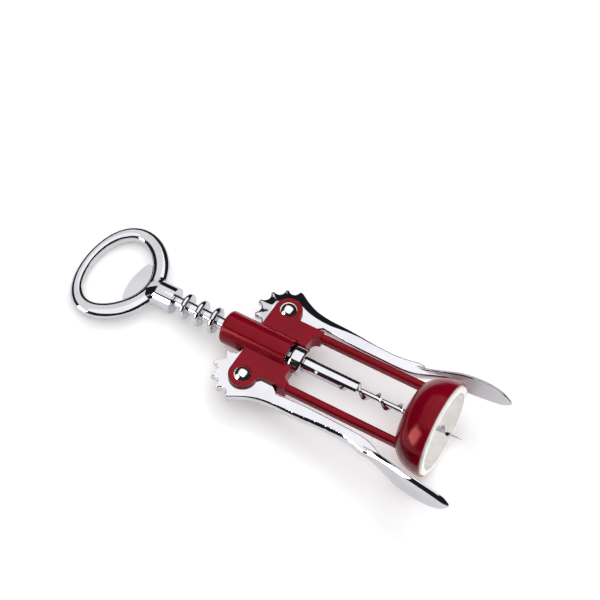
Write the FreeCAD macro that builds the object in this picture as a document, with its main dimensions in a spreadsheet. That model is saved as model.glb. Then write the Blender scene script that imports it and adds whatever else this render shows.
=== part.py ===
"""Double-lever (wing) corkscrew with a cap-lifter ring handle.

Axes: +X runs along the screw axis out of the bell mouth, +Y towards the left
lever, +Z up out of the plane of the frame. The origin is the centre of the bell
mouth, where the bottle lip seats. Millimetres.
"""
import FreeCAD
import Part

import math
import os
import re

import Sketcher

from FreeCAD import Placement, Rotation, Vector

doc = FreeCAD.newDocument("lever_corkscrew")

DIMENSIONS = [
    # where the parts sit
    ("pivot_to_mouth", 72.2),
    ("pivot_spread", 16.0),
    ("lever_splay_deg", 0.9),
    ("lever_drop", 0.5),
    # die-cast frame
    ("barrel_radius", 6.35),
    ("barrel_above_pivot", 16.5),
    ("barrel_below_pivot", 10.2),
    ("bore_radius", 5.45),
    ("ear_radius", 5.2),
    ("ear_thick", 5.8),
    ("slot_thick", 3.4),
    ("slot_gap", 0.8),
    ("block_below_pivot", 13.5),
    ("arm_centre", 12.5),
    ("arm_width", 3.0),
    ("arm_thick", 4.0),
    ("arm_round", 1.2),
    ("arm_overlap", 2.0),
    ("window_corner", 2.6),
    ("bell_depth", 13.6),
    ("bell_back_radius", 10.0),
    ("bell_rim_radius", 18.0),
    ("bell_wall", 1.6),
    ("worm_hole_radius", 4.2),
    # plastic liner
    ("liner_lip", 0.9),
    ("liner_wall", 1.4),
    ("liner_floor", 1.2),
    ("liner_gap", 0.12),
    # rivets
    ("rivet_radius", 2.0),
    ("rivet_head_radius", 3.4),
    ("rivet_head_rise", 2.0),
    ("rivet_tail_radius", 2.9),
    ("rivet_tail_rise", 0.9),
    # grooved rack sleeve
    ("rack_pitch", 6.08),
    ("bore_clear", 0.25),
    ("disc_thick", 2.2),
    ("bush_long", 5.2),
    ("rack_core_radius", 2.4),
    ("rod_radius", 1.5),
    # levers
    ("lever_thick", 3.0),
    ("tooth_gap", 1.4),
    ("tooth_runout", 1.7),
    ("tooth_depth", 1.9),
    ("tooth_tip_width", 1.6),
    ("leaf_thick", 1.4),
    ("leaf_half_height", 5.7),
    ("leaf_clear", 6.0),
    # ring handle
    ("collar_radius", 5.05),
    ("collar_long", 7.0),
    ("ring_neck", 2.86),
    ("ring_half_long", 13.9),
    ("ring_half_wide", 18.7),
    ("ring_thick", 4.8),
    ("ring_bar_neck", 3.1),
    ("ring_bar_side", 3.0),
    ("ring_bar_far", 1.95),
    ("ring_egg", 0.17),
    ("neck_spread", 8.3),
    ("neck_run", 4.4),
    ("lifter_thick", 1.8),
    ("lifter_half_wide", 8.8),
    ("lifter_hollow", 1.7),
    ("lifter_reach", 7.5),
    # worm
    ("shank_radius", 2.75),
    ("shank_long", 21.6),
    ("shank_full", 15.2),
    ("worm_core_radius", 1.05),
    ("worm_radius", 2.75),
    ("worm_pitch", 8.7),
    ("flight_start_deg", -138.0),
    ("flight_foot", 1.9),
    ("flight_crest", 0.24),
    ("worm_taper", 12.0),
    ("tip_flat_radius", 0.12),
    ("relief_tilt_deg", 32.0),
    ("worm_proud", 6.7),
    ("pin_radius", 0.6),
    ("pin_below_rack", 5.7),
    ("pin_turn_deg", 50.0),
    # clearances
    ("running_fit", 0.05),
    ("press_gap", 0.01),
    ("end_gap", 0.1),
]

sheet = doc.addObject("Spreadsheet::Sheet", "sizes")
for row, (alias, value) in enumerate(DIMENSIONS, start=1):
    sheet.set("A%d" % row, alias)
    sheet.set("B%d" % row, str(value))
    sheet.setAlias("B%d" % row, alias)
doc.recompute()


def size(alias):
    """Number held in one cell of the sheet."""
    return float(sheet.get(alias))


def total(aliases):
    """Sum of the cells named, each with its sign."""
    terms = re.findall(r"([+-]?)\s*(\w+)", aliases)
    return sum(-size(name) if sign == "-" else size(name) for sign, name in terms)


def cell(alias):
    """Expression naming one or more cells of the sheet, in millimetres."""
    terms = ["%ssizes.%s" % (sign, name) for sign, name in re.findall(r"([+-]?)\s*(\w+)", alias)]
    return "(%s) * 1 mm" % " ".join(terms)


PIVOT_X = -size("pivot_to_mouth")
SPREAD = size("pivot_spread")
DROP = size("lever_drop")
DISC_RADIUS = size("bore_radius") - size("bore_clear")
TIP_RADIUS = SPREAD - size("rack_core_radius") - size("tooth_gap")
FULL_TURN = 2 * math.pi


# ---------------------------------------------------------------- helpers

def new_body(label):
    """Empty PartDesign body whose label names its file."""
    body = doc.addObject("PartDesign::Body", label)
    body.Label = label
    return body


def origin_plane(body, role):
    """One of the body's own three origin planes."""
    return [f for f in body.Origin.OriginFeatures if f.Role == role][0]


def new_sketch(body, name, role, shift=0.0):
    """Sketch on an origin plane, moved along that plane's normal by shift."""
    sketch = body.newObject("Sketcher::SketchObject", name)
    sketch.AttachmentSupport = [(origin_plane(body, role), "")]
    sketch.MapMode = "FlatFace"
    sketch.AttachmentOffset = Placement(Vector(0, 0, shift), Rotation())
    return sketch


def draw(sketch, *curves):
    """Add Part curves to a sketch."""
    for curve in curves:
        sketch.addGeometry(curve, False)


def polygon(points):
    """Closed chain of line segments through points."""
    flat = [Vector(u, v, 0) for u, v in points]
    return [Part.LineSegment(a, b) for a, b in zip(flat, flat[1:] + flat[:1])]


def circle(sketch, u, v, alias):
    """Circle whose radius is bound to a sheet cell."""
    radius = total(alias)
    index = sketch.addGeometry(Part.Circle(Vector(u, v, 0), Vector(0, 0, 1), radius), False)
    name = "radius_%d" % sketch.addConstraint(Sketcher.Constraint("Radius", index, radius))
    sketch.renameConstraint(sketch.ConstraintCount - 1, name)
    sketch.setExpression("Constraints." + name, cell(alias))
    return index


def spline(points, closed=False):
    """Smooth curve through points."""
    curve = Part.BSplineCurve()
    curve.interpolate([Vector(u, v, 0) for u, v in points], PeriodicFlag=closed)
    return curve


def pad(body, sketch, name, alias, symmetric=True):
    """Extrude a sketch to a thickness held in the sheet."""
    feature = body.newObject("PartDesign::Pad", name)
    feature.Profile = sketch
    feature.Midplane = symmetric
    feature.setExpression("Length", cell(alias))
    doc.recompute()
    return feature


def turn(body, sketch, name, kind="Revolution", axis="H_Axis"):
    """Revolve a sketch fully about its horizontal axis, adding or cutting."""
    feature = body.newObject("PartDesign::" + kind, name)
    feature.Profile = sketch
    feature.ReferenceAxis = (sketch, [axis])
    feature.Angle = 360
    doc.recompute()
    return feature


def pocket(body, sketch, name, alias=None):
    """Cut a sketch both ways from its plane, to a thickness or right through."""
    before = body.Shape.Volume
    feature = body.newObject("PartDesign::Pocket", name)
    feature.Profile = sketch
    feature.Midplane = True
    if alias is None:
        feature.Type = "ThroughAll"
    else:
        feature.Type = "Length"
        feature.setExpression("Length", cell(alias))
    doc.recompute()
    if body.Shape.Volume >= before:
        raise RuntimeError(name + " cuts nothing")
    return feature


def feature(label, shape):
    """Plain feature for a shape no body or primitive makes."""
    item = doc.addObject("Part::Feature", label)
    item.Label = label
    item.Shape = shape
    item.Placement = Placement()
    return item


# ---------------------------------------------------------------- frame casting

BARREL_TOP = PIVOT_X - size("barrel_above_pivot")
BARREL_END = PIVOT_X + size("barrel_below_pivot")
WINDOW_TOP = PIVOT_X + size("block_below_pivot")
BELL_RIM = -size("liner_lip")
BELL_BACK = -size("bell_depth")
# from inside the bell's back wall to a little way into the block under the barrel
ARM_LONG = "pivot_to_mouth - block_below_pivot - bell_depth + bell_wall + arm_overlap"
SLOT_RADIUS = "pivot_spread - rack_core_radius - tooth_gap + slot_gap"
ARM_OUT = size("arm_centre") + size("arm_width") / 2
ARM_IN = size("arm_centre") - size("arm_width") / 2


# bell profile: share of its depth from the back, share of its flare
BELL_SHAPE = [(0.0, 0.0), (0.04, 0.25), (0.13, 0.48), (0.30, 0.72), (0.55, 0.91), (0.80, 0.99), (1.0, 1.0)]


def bell_wall_curve(inset):
    """Bell profile from the flat back to the rim, moved inwards by inset."""
    back = size("bell_back_radius")
    flare = size("bell_rim_radius") - back
    depth = BELL_RIM - BELL_BACK
    return [(BELL_BACK + inset * (1 - u) + u * depth, back + w * flare - inset) for u, w in BELL_SHAPE]


# how deep the ear pad starts inside the barrel, and the bevel where an ear meets its arm
EAR_ROOT = 0.6
EAR_STEP = 1.2


def build_frame():
    """Barrel, slotted ears, two arms and the bell, cast in one piece."""
    body = new_body("frame_casting")

    barrel = new_sketch(body, "barrel_profile", "XY_Plane")
    r = size("barrel_radius")
    edge = size("arm_round")
    draw(
        barrel,
        Part.LineSegment(Vector(BARREL_TOP, 0, 0), Vector(BARREL_TOP, r - edge, 0)),
        Part.Arc(
            Vector(BARREL_TOP, r - edge, 0),
            Vector(BARREL_TOP + edge * (1 - math.sqrt(0.5)), r - edge * (1 - math.sqrt(0.5)), 0),
            Vector(BARREL_TOP + edge, r, 0),
        ),
        Part.LineSegment(Vector(BARREL_TOP + edge, r, 0), Vector(BARREL_END, r, 0)),
        Part.LineSegment(Vector(BARREL_END, r, 0), Vector(BARREL_END, 0, 0)),
        Part.LineSegment(Vector(BARREL_END, 0, 0), Vector(BARREL_TOP, 0, 0)),
    )
    turn(body, barrel, "barrel")

    ears = new_sketch(body, "ear_outline", "XY_Plane", -DROP)
    ear = size("ear_radius")
    root = size("barrel_radius") * EAR_ROOT
    step = EAR_STEP
    chain = []
    for side in (1, -1):
        waist = [
            Vector(PIVOT_X + ear, side * SPREAD, 0),
            Vector(PIVOT_X + ear, side * (ARM_OUT + step), 0),
            Vector(PIVOT_X + ear + step, side * ARM_OUT, 0),
            Vector(WINDOW_TOP + size("window_corner"), side * ARM_OUT, 0),
            Vector(WINDOW_TOP + size("window_corner"), side * ARM_IN, 0),
            Vector(WINDOW_TOP, side * (ARM_IN - size("window_corner")), 0),
        ]
        chain.append((side, waist))
    for side, waist in chain:
        draw(
            ears,
            Part.LineSegment(Vector(PIVOT_X - ear, side * root, 0), Vector(PIVOT_X - ear, side * SPREAD, 0)),
            Part.Arc(
                Vector(PIVOT_X - ear, side * SPREAD, 0),
                Vector(PIVOT_X, side * (SPREAD + ear), 0),
                Vector(PIVOT_X + ear, side * SPREAD, 0),
            ),
            Part.LineSegment(waist[0], waist[1]),
            Part.LineSegment(waist[1], waist[2]),
            Part.LineSegment(waist[2], waist[3]),
            Part.LineSegment(waist[3], waist[4]),
            window_arc(waist[4], waist[5]),
        )
    draw(
        ears,
        Part.LineSegment(Vector(PIVOT_X - ear, root, 0), Vector(PIVOT_X - ear, -root, 0)),
        Part.LineSegment(chain[0][1][5], chain[1][1][5]),
    )
    pad(body, ears, "ears", "ear_thick")

    arms = new_sketch(body, "arm_sections", "YZ_Plane", BELL_BACK + size("bell_wall"))
    half = size("arm_thick") / 2
    for side in (1, -1):
        draw(arms, *rounded_box(side * size("arm_centre"), size("arm_width") / 2, half, size("arm_round")))
    run = pad(body, arms, "arms", ARM_LONG, symmetric=False)
    run.Reversed = True
    doc.recompute()

    bell = new_sketch(body, "bell_profile", "XY_Plane")
    outer = bell_wall_curve(0.0)
    inner = bell_wall_curve(size("bell_wall"))
    hole = size("worm_hole_radius")
    draw(
        bell,
        spline(outer),
        Part.LineSegment(Vector(*outer[-1], 0), Vector(*inner[-1], 0)),
        spline(inner[::-1]),
        Part.LineSegment(Vector(*inner[0], 0), Vector(inner[0][0], hole, 0)),
        Part.LineSegment(Vector(inner[0][0], hole, 0), Vector(BELL_BACK, hole, 0)),
        Part.LineSegment(Vector(BELL_BACK, hole, 0), Vector(*outer[0], 0)),
    )
    turn(body, bell, "bell")

    bore = new_sketch(body, "bore_profile", "XY_Plane")
    draw(bore, *polygon([
        (BARREL_TOP - 1, 0), (BARREL_TOP - 1, size("bore_radius")),
        (WINDOW_TOP + 4, size("bore_radius")), (WINDOW_TOP + 4, 0),
    ]))
    turn(body, bore, "bore", "Groove")

    slots = new_sketch(body, "slot_outline", "XY_Plane", -DROP)
    for side in (1, -1):
        circle(slots, PIVOT_X, side * SPREAD, SLOT_RADIUS)
    pocket(body, slots, "slots", "slot_thick")

    holes = new_sketch(body, "rivet_holes", "XY_Plane")
    for side in (1, -1):
        circle(holes, PIVOT_X, side * SPREAD, "rivet_radius")
    pocket(body, holes, "holes")
    return body


def window_arc(start, end):
    """Quarter arc in a corner of the window."""
    r = size("window_corner")
    mid = Vector(
        end.x + r * (1 - math.sqrt(0.5)),
        start.y - math.copysign(r * (1 - math.sqrt(0.5)), start.y),
        0,
    )
    return Part.Arc(start, mid, end)


def rounded_box(centre, half_wide, half_tall, r):
    """Rectangle with rounded corners, centred at (centre, 0)."""
    curves = []
    corners = [(1, 1), (-1, 1), (-1, -1), (1, -1)]
    bend = r * (1 - math.sqrt(0.5))
    ends = []
    for sx, sy in corners:
        u, v = centre + sx * half_wide, sy * half_tall
        one = Vector(u, v - sy * r, 0)
        two = Vector(u - sx * r, v, 0)
        mid = Vector(u - sx * bend, v - sy * bend, 0)
        if sx * sy < 0:
            one, two = two, one
        ends.append((one, mid, two))
    for i, (one, mid, two) in enumerate(ends):
        curves.append(Part.Arc(one, mid, two))
        curves.append(Part.LineSegment(two, ends[(i + 1) % 4][0]))
    return curves


# ---------------------------------------------------------------- bell liner

LIP_ROUND = 0.3


def build_liner():
    """Ivory plastic cup that lines the bell and centres the bottle lip.

    Its outside follows the bell at a gap. Its inside is the same curve, moved in by the
    wall and stretched to reach from the floor to the mouth.
    """
    body = new_body("bell_liner")
    profile = new_sketch(body, "liner_profile", "XY_Plane")
    gap = size("bell_wall") + size("liner_gap")
    outer = bell_wall_curve(gap)
    wall = size("liner_wall")
    hole = size("worm_hole_radius")
    rim = size("bell_rim_radius") - size("bell_wall") / 2
    floor_x = outer[0][0] + size("liner_floor")
    inner = [((1 - u) * floor_x, r - wall) for (u, _), (_, r) in zip(BELL_SHAPE, outer)][::-1]
    mouth = inner[0][1]
    draw(
        profile,
        spline(outer),
        Part.LineSegment(Vector(*outer[-1], 0), Vector(BELL_RIM, rim, 0)),
        Part.LineSegment(Vector(BELL_RIM, rim, 0), Vector(0, rim - LIP_ROUND, 0)),
        Part.LineSegment(Vector(0, rim - LIP_ROUND, 0), Vector(0, mouth, 0)),
        spline(inner),
        Part.LineSegment(Vector(floor_x, inner[-1][1], 0), Vector(floor_x, hole, 0)),
        Part.LineSegment(Vector(floor_x, hole, 0), Vector(outer[0][0], hole, 0)),
        Part.LineSegment(Vector(outer[0][0], hole, 0), Vector(*outer[0], 0)),
    )
    turn(body, profile, "liner")
    return body


# ---------------------------------------------------------------- rivets

def build_rivet(label, side):
    """Domed rivet: shank through both ears, formed tail underneath."""
    body = new_body(label)
    profile = new_sketch(body, label + "_profile", "XZ_Plane")
    half = size("ear_thick") / 2
    shank = size("rivet_radius") - size("press_gap")
    head = size("rivet_head_radius")
    rise = size("rivet_head_rise")
    tail = size("rivet_tail_radius")
    drop = size("rivet_tail_rise")
    draw(
        profile,
        Part.LineSegment(Vector(0, -half - drop, 0), Vector(0, half + rise, 0)),
        dome(head, half, rise),
        Part.LineSegment(Vector(head, half, 0), Vector(shank, half, 0)),
        Part.LineSegment(Vector(shank, half, 0), Vector(shank, -half, 0)),
        Part.LineSegment(Vector(shank, -half, 0), Vector(tail, -half, 0)),
        dome(tail, -half, -drop),
    )
    turn(body, profile, label + "_turned", axis="V_Axis")
    body.Placement = Placement(Vector(PIVOT_X, side * SPREAD, -DROP), Rotation())
    return body


def dome(radius, base, rise):
    """Quarter outline of a shallow dome, from its crown to its edge."""
    ball = (radius ** 2 + rise ** 2) / (2 * abs(rise))
    half_angle = math.asin(radius / ball) / 2
    centre = base + rise - math.copysign(ball, rise)
    mid = Vector(ball * math.sin(half_angle), centre + math.copysign(ball * math.cos(half_angle), rise), 0)
    return Part.Arc(Vector(0, base + rise, 0), mid, Vector(radius, base, 0))


# ---------------------------------------------------------------- levers

def sector_outline():
    """Toothed sector about the pivot: tooth tips joined by round valleys.

    Angles are measured at the pivot from the line to the screw axis, growing
    towards the handle. The teeth fill half a turn. Teeth past WORKING_TEETH never reach
    the rack and run out to a smaller radius. Returns the first corner and the outline
    after it.
    """
    rack_line = SPREAD - DISC_RADIUS + size("disc_thick") / 2
    step = size("rack_pitch") / rack_line
    tip = TIP_RADIUS
    half_tip = size("tooth_tip_width") / 2 / tip
    runout = size("tooth_runout") / 2
    teeth = int(math.pi / step) + 1
    tips = [tip - runout * min(max(k - WORKING_TEETH + 1, 0), 2) for k in range(teeth)]
    chain = [("line", polar(tips[0], half_tip))]
    for k in range(teeth - 1):
        valley = (tips[k] + tips[k + 1]) / 2 - size("tooth_depth")
        chain.append(("arc", polar(valley, (k + 0.5) * step), polar(tips[k + 1], (k + 1) * step - half_tip)))
        chain.append(("line", polar(tips[k + 1], (k + 1) * step + half_tip)))
    return polar(tip, -half_tip), chain


def polar(radius, angle):
    """Point of the left lever at a radius and angle about the pivot."""
    return Vector(-radius * math.sin(angle), -radius * math.cos(angle), 0)


WORKING_TEETH = 4
# lever outline past the sector, relative to the pivot: along the arm, then outwards
OUTER_EDGE = [(3.6, 8.3), (8.5, 6.2), (14.5, 5.2), (22.5, 4.85), (48.5, 4.75), (53.5, 5.2)]
INNER_EDGE = [
    (14.5, 0.4), (27.0, -0.5), (40.0, -0.5), (48.0, -0.3), (52.0, 0.4), (57.5, 2.8), (62.0, 4.7),
    (69.5, 6.9), (80.0, 7.8),
]
# leaf: distance from the pivot along the arm, outward offset of the outer face, share of full height
LEAF = [
    (48.5, 4.75, 0.20), (51.5, 4.9, 0.30), (55.0, 5.25, 0.44), (58.5, 5.95, 0.62), (62.5, 7.0, 0.80),
    (67.0, 8.2, 0.94), (72.5, 9.0, 1.0), (77.0, 9.35, 0.95), (81.0, 9.4, 0.83), (84.5, 9.15, 0.61),
    (86.6, 8.85, 0.32),
]
LEAF_TIP = (87.4, 8.75)
LEAF_PEAK = 9.4
# how far the leaf moves out with the bell so that it always clears the rim
LEAF_SHIFT = size("bell_rim_radius") + size("leaf_clear") + size("leaf_thick") - SPREAD - LEAF_PEAK
LEAF_START = 48.5
LEAF_RISE = 3


def moved_out(points):
    """Lever points past the straight arm, moved out with the bell's rim."""
    length = LEAF_TIP[0] - LEAF_START
    moved = []
    for point in points:
        share = min(max(LEAF_RISE * (point[0] - LEAF_START) / length, 0), 1)
        moved.append((point[0], point[1] + LEAF_SHIFT * share) + point[2:])
    return moved


OUTER_EDGE, INNER_EDGE, LEAF = moved_out(OUTER_EDGE), moved_out(INNER_EDGE), moved_out(LEAF)
LEAF_TIP = moved_out([LEAF_TIP])[0]



def lever_shape():
    """Cast lever, drawn for the +Y side with its pivot at the origin."""
    thick = size("lever_thick")
    first, chain = sector_outline()
    edges = []
    here = first
    for entry in chain:
        if entry[0] == "line":
            edges.append(Part.LineSegment(here, entry[1]).toShape())
        else:
            edges.append(Part.Arc(here, entry[1], entry[2]).toShape())
        here = entry[-1]
    outer = [(here.x, here.y)] + OUTER_EDGE
    skin = size("leaf_thick")
    tail = [(x, y - 0.4 * skin) for x, y, _ in LEAF[2:]]
    outer_run = spline(outer + tail + [(LEAF_TIP[0] - 0.4, LEAF_TIP[1] - 0.4 * skin)])
    edges.append(outer_run.toShape())
    inner_end = (LEAF_TIP[0] - 0.4, LEAF_TIP[1] - 1.3 * skin)
    edges.append(Part.LineSegment(outer_run.EndPoint, Vector(*inner_end, 0)).toShape())
    back = [inner_end] + INNER_EDGE[::-1]
    inner_run = spline(back)
    edges.append(inner_run.toShape())
    root = TIP_RADIUS - size("tooth_depth")
    heel = polar(root, -0.5 * size("rack_pitch") / root)
    knee = Vector(7.6, -5.4, 0)
    edges.append(Part.Arc(inner_run.EndPoint, knee, heel).toShape())
    edges.append(Part.LineSegment(heel, first).toShape())
    face = Part.Face(Part.Wire(edges))
    web = face.extrude(Vector(0, 0, thick))
    web.translate(Vector(0, 0, -thick / 2))
    hole = Part.makeCylinder(
        size("rivet_radius") + size("running_fit"), thick + 2, Vector(0, 0, -thick / 2 - 1), Vector(0, 0, 1),
    )
    return web.cut(hole).fuse(leaf_shape()).removeSplitter()


def leaf_shape():
    """Thumb leaf that stands across the end of the lever and bows outwards."""
    skin = size("leaf_thick")
    tall = size("leaf_half_height")
    outline = [(x, share * tall) for x, _, share in LEAF]
    front = [(LEAF[0][0] - 1.0, 0.0)] + outline + [(LEAF_TIP[0], 0.0)]
    mirrored = [(x, -z) for x, z in front[1:-1]][::-1]
    loop = spline(front + mirrored, closed=True)
    side_face = Part.Face(Part.Wire([loop.toShape()]))
    side_face.rotate(Vector(0, 0, 0), Vector(1, 0, 0), 90)
    side_face.translate(Vector(0, 30, 0))
    blank = side_face.extrude(Vector(0, -60, 0))
    path = [(x, y) for x, y, _ in LEAF] + [LEAF_TIP]
    run_in = (LEAF[0][0] - 3.0, LEAF[0][1])
    run_out = (LEAF_TIP[0] + 2.0, LEAF_TIP[1] - 0.9)
    out_curve = spline([run_in] + path + [run_out])
    in_curve = spline([(x, y - skin) for x, y in [run_in] + path + [run_out]][::-1])
    strip = Part.Face(Part.Wire([
        out_curve.toShape(),
        Part.LineSegment(out_curve.EndPoint, in_curve.StartPoint).toShape(),
        in_curve.toShape(),
        Part.LineSegment(in_curve.EndPoint, out_curve.StartPoint).toShape(),
    ]))
    slab = strip.extrude(Vector(0, 0, 4 * tall))
    slab.translate(Vector(0, 0, -2 * tall))
    return blank.common(slab)


def build_lever(label, side):
    """One lever, mirrored for the right-hand side and set on its pivot."""
    shape = lever_shape()
    if side < 0:
        shape = shape.mirror(Vector(0, 0, 0), Vector(0, 1, 0))
    item = feature(label, shape)
    splay = -size("lever_splay_deg")
    item.Placement = Placement(
        Vector(PIVOT_X, side * SPREAD, -DROP), Rotation(Vector(0, 0, 1), splay),
    )
    return item


# ---------------------------------------------------------------- rack sleeve and spindle rod

DISCS = 9
DISCS_ABOVE_PIVOT = 5.5
FIRST_DISC = PIVOT_X - DISCS_ABOVE_PIVOT * size("rack_pitch")
RACK_TOP = FIRST_DISC - size("rack_pitch") + size("disc_thick") / 2
RACK_END = FIRST_DISC + (DISCS - 1) * size("rack_pitch") + size("disc_thick") / 2


def build_rack():
    """Sleeve with a row of round-edged discs that the lever teeth push on.

    The last one is a longer bush, which keeps the sleeve in line in the barrel's mouth.
    """
    body = new_body("rack_sleeve")
    profile = new_sketch(body, "rack_profile", "XY_Plane")
    bore = size("rod_radius") + size("running_fit")
    core = size("rack_core_radius")
    disc = DISC_RADIUS
    half = size("disc_thick") / 2
    curves = []
    here = Vector(RACK_TOP, core, 0)
    curves.append(Part.LineSegment(Vector(RACK_TOP, bore, 0), here))
    for k in range(DISCS):
        x = FIRST_DISC + k * size("rack_pitch")
        last = k == DISCS - 1
        start = RACK_END - size("bush_long") if last else x - half
        foot = Vector(start, core, 0)
        rise = Vector(start, disc - half, 0)
        crown = Vector(x, disc, 0)
        fall = Vector(x + half, disc - half, 0)
        curves.append(Part.LineSegment(here, foot))
        curves.append(Part.LineSegment(foot, rise))
        if last:
            bend = half * (1 - math.sqrt(0.5))
            shoulder = Vector(start + half, disc, 0)
            curves.append(Part.Arc(rise, Vector(start + bend, disc - bend, 0), shoulder))
            curves.append(Part.LineSegment(shoulder, crown))
            curves.append(Part.Arc(crown, Vector(x + half - bend, disc - bend, 0), fall))
        else:
            curves.append(Part.Arc(rise, crown, fall))
        here = Vector(x + half, bore if last else core, 0)
        curves.append(Part.LineSegment(fall, here))
    curves.append(Part.LineSegment(here, Vector(RACK_TOP, bore, 0)))
    draw(profile, *curves)
    turn(body, profile, "rack")
    return body


ROD_TOP = RACK_TOP - size("collar_long")
PIN_X = RACK_END + size("pin_below_rack")
ROD_END = PIN_X + size("pin_below_rack") / 2


def across_rod(half_long):
    """Placement on the cross pin's axis, half_long before the screw axis."""
    turned = Rotation(Vector(1, 0, 0), size("pin_turn_deg"))
    return Placement(turned.multVec(Vector(PIN_X, 0, -half_long)), turned)


def build_rod():
    """Plain spindle that joins the handle to the worm through the sleeve."""
    rod = doc.addObject("Part::Cylinder", "spindle_rod")
    rod.Label = "spindle_rod"
    rod.setExpression("Radius", cell("rod_radius"))
    rod.Height = ROD_END - ROD_TOP
    rod.Placement = Placement(Vector(ROD_TOP, 0, 0), Rotation(Vector(0, 1, 0), 90))
    hole = doc.addObject("Part::Cylinder", "rod_pin_hole")
    hole.setExpression("Radius", cell("pin_radius"))
    hole.Height = 4 * size("rod_radius")
    hole.Placement = across_rod(2 * size("rod_radius"))
    cut = doc.addObject("Part::Cut", "spindle_rod_drilled")
    rod.Label = "rod_blank"
    cut.Base = rod
    cut.Tool = hole
    cut.Label = "spindle_rod"
    return cut


# ---------------------------------------------------------------- worm and its pin

SHANK_TOP = RACK_END + size("end_gap")
SHANK_END = SHANK_TOP + size("shank_long")
FULL_END = SHANK_TOP + size("shank_full")
TIP_X = size("worm_proud")


def revolved(points):
    """Solid of revolution about the X axis from a polygon in the XY plane."""
    outline = Part.makePolygon([Vector(x, r, 0) for x, r in points + points[:1]])
    return Part.Face(outline).revolve(Vector(0, 0, 0), Vector(1, 0, 0), 360)


def build_worm():
    """Screw with a round shank, a thin core and one sharp helical flight."""
    x_axis = Vector(1, 0, 0)
    crest = size("worm_radius")
    core_radius = size("worm_core_radius")
    shank = Part.makeCylinder(size("shank_radius"), SHANK_END - SHANK_TOP, Vector(SHANK_TOP, 0, 0), x_axis)
    relief_corner = Vector(FULL_END, -4 * crest, -8 * crest)
    relief = Part.makeBox(SHANK_END - FULL_END + 1, 8 * crest, 8 * crest, relief_corner)
    relief.rotate(Vector(0, 0, 0), x_axis, -size("relief_tilt_deg"))
    shank = shank.cut(relief)

    taper_start = TIP_X - size("worm_taper")
    core = revolved([
        (SHANK_END - 3, 0), (SHANK_END - 3, core_radius), (taper_start, core_radius),
        (TIP_X, size("tip_flat_radius")), (TIP_X, 0),
    ])

    start = FULL_END - 1.0
    root = core_radius - 0.25
    foot = size("flight_foot") / 2
    sharp = size("flight_crest") / 2
    helix = Part.makeLongHelix(size("worm_pitch"), TIP_X - 5.0 - start, root)
    section = Part.makePolygon([
        Vector(root, 0, -foot), Vector(crest, 0, -sharp), Vector(crest, 0, sharp),
        Vector(root, 0, foot), Vector(root, 0, -foot),
    ])
    flight = Part.Wire(helix).makePipeShell([section], True, True)
    if flight.Volume < 0:
        flight.reverse()
    flight.rotate(Vector(0, 0, 0), Vector(0, 1, 0), 90)
    flight.translate(Vector(start, 0, 0))
    flight.rotate(Vector(0, 0, 0), x_axis, size("flight_start_deg"))
    envelope = revolved([
        (start - 3, 0), (start - 3, crest + 1), (taper_start, crest + 1),
        (TIP_X - 0.5, 0.25), (TIP_X - 0.5, 0),
    ])

    body = core.fuse(flight.common(envelope)).fuse(shank)
    socket = Part.makeCylinder(
        size("rod_radius") + size("press_gap"), ROD_END - SHANK_TOP + 1, Vector(SHANK_TOP - 1, 0, 0), x_axis,
    )
    pin_hole = Part.makeCylinder(size("pin_radius") + size("press_gap"), 8 * crest)
    pin_hole.Placement = across_rod(4 * crest)
    return feature("worm", body.cut(socket).cut(pin_hole))


def build_pin():
    """Cross pin that locks the worm on the rod."""
    pin = doc.addObject("Part::Cylinder", "worm_pin")
    pin.Label = "worm_pin"
    pin.setExpression("Radius", "(sizes.pin_radius - sizes.press_gap) * 1 mm")
    pin.setExpression("Height", "sizes.shank_radius * 2 mm")
    pin.Placement = across_rod(size("shank_radius"))
    return pin


# ---------------------------------------------------------------- ring handle

COLLAR_END = RACK_TOP - size("end_gap")
COLLAR_TOP = COLLAR_END - size("collar_long")
RING_X = COLLAR_TOP - size("ring_neck") - size("ring_half_long")


# lifter web behind its hollow edge: share of its reach into the bar, share of its half width
LIFTER_SHAPE = [(0.0, 1.0), (0.3, 0.97), (0.64, 0.61), (0.77, 0.0)]
NECK_FLAT = 0.96
BAR_SQUARE = 0.72
BAR_POINTS = 12
BAR_SECTIONS = 20


def bar_section(angle):
    """Rounded cross-section of the ring's bar at one angle round the egg-shaped centre line."""
    egg = -size("ring_egg")
    c, s = math.cos(angle), math.sin(angle)
    half_long, half_wide = size("ring_half_long"), size("ring_half_wide")
    neck, side, far = size("ring_bar_neck"), size("ring_bar_side"), size("ring_bar_far")
    bar = side + (neck - far) / 2 * c + ((neck + far) / 2 - side) * c * c
    outward = Vector(half_wide * c, half_long * s, 0).normalize()
    centre = Vector(RING_X + half_long * c, half_wide * s * (1 + egg * c), 0)
    half_thick = size("ring_thick") / 2
    points = []
    for i in range(BAR_POINTS):
        turn_by = FULL_TURN * i / BAR_POINTS
        u, v = math.cos(turn_by), math.sin(turn_by)
        points.append(
            centre
            + outward * (bar * math.copysign(abs(u) ** BAR_SQUARE, u))
            + Vector(0, 0, half_thick * math.copysign(abs(v) ** BAR_SQUARE, v))
        )
    curve = Part.BSplineCurve()
    curve.interpolate(points, PeriodicFlag=True)
    return Part.Wire([curve.toShape()])


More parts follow.
